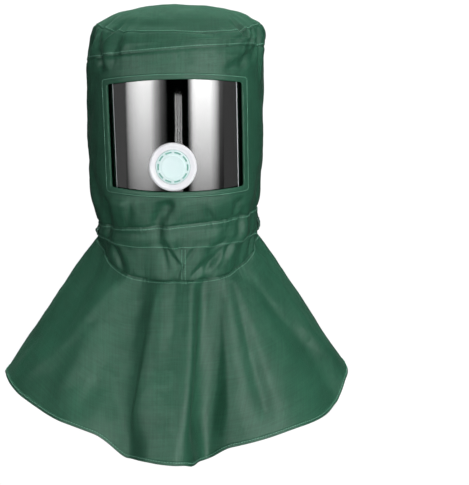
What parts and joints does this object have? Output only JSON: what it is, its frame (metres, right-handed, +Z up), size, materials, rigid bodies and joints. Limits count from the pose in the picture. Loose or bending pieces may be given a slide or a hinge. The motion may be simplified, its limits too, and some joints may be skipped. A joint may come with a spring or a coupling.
{
  "type": "sandblasting hood",
  "caption": "Soft coated-cloth blasting hood with a domed crown, a curved clear window with a round breathing valve, a two-band collar and a flared shoulder cape.",
  "frame": {"origin": "inside of the crown at its highest point, where the top of the head touches it", "axes": "+Z up, -Y is the way the face looks, +X is the wearer's left"},
  "size_m": [0.5, 0.4382, 0.5891],
  "materials": {
    "green_cloth": "coated plain weave with a satin sheen",
    "clear_sheet": "clear and glossy",
    "white_plastic": "fine satin",
    "mint_plastic": "fine satin"
  },
  "bodies": {
    "root": {"crown_panel": "green_cloth", "crown_band": "green_cloth", "head_front": "green_cloth", "head_back": "green_cloth", "window_binding": "green_cloth", "visor_film": "clear_sheet", "visor_sheet": "clear_sheet", "valve_body": "white_plastic", "valve_cover": "mint_plastic", "valve_ring": "white_plastic", "collar_upper_band": "green_cloth", "collar_lower_band": "green_cloth", "cord_loop_left": "green_cloth", "cord_loop_right": "green_cloth", "cape": "green_cloth"}
  },
  "joints": []
}
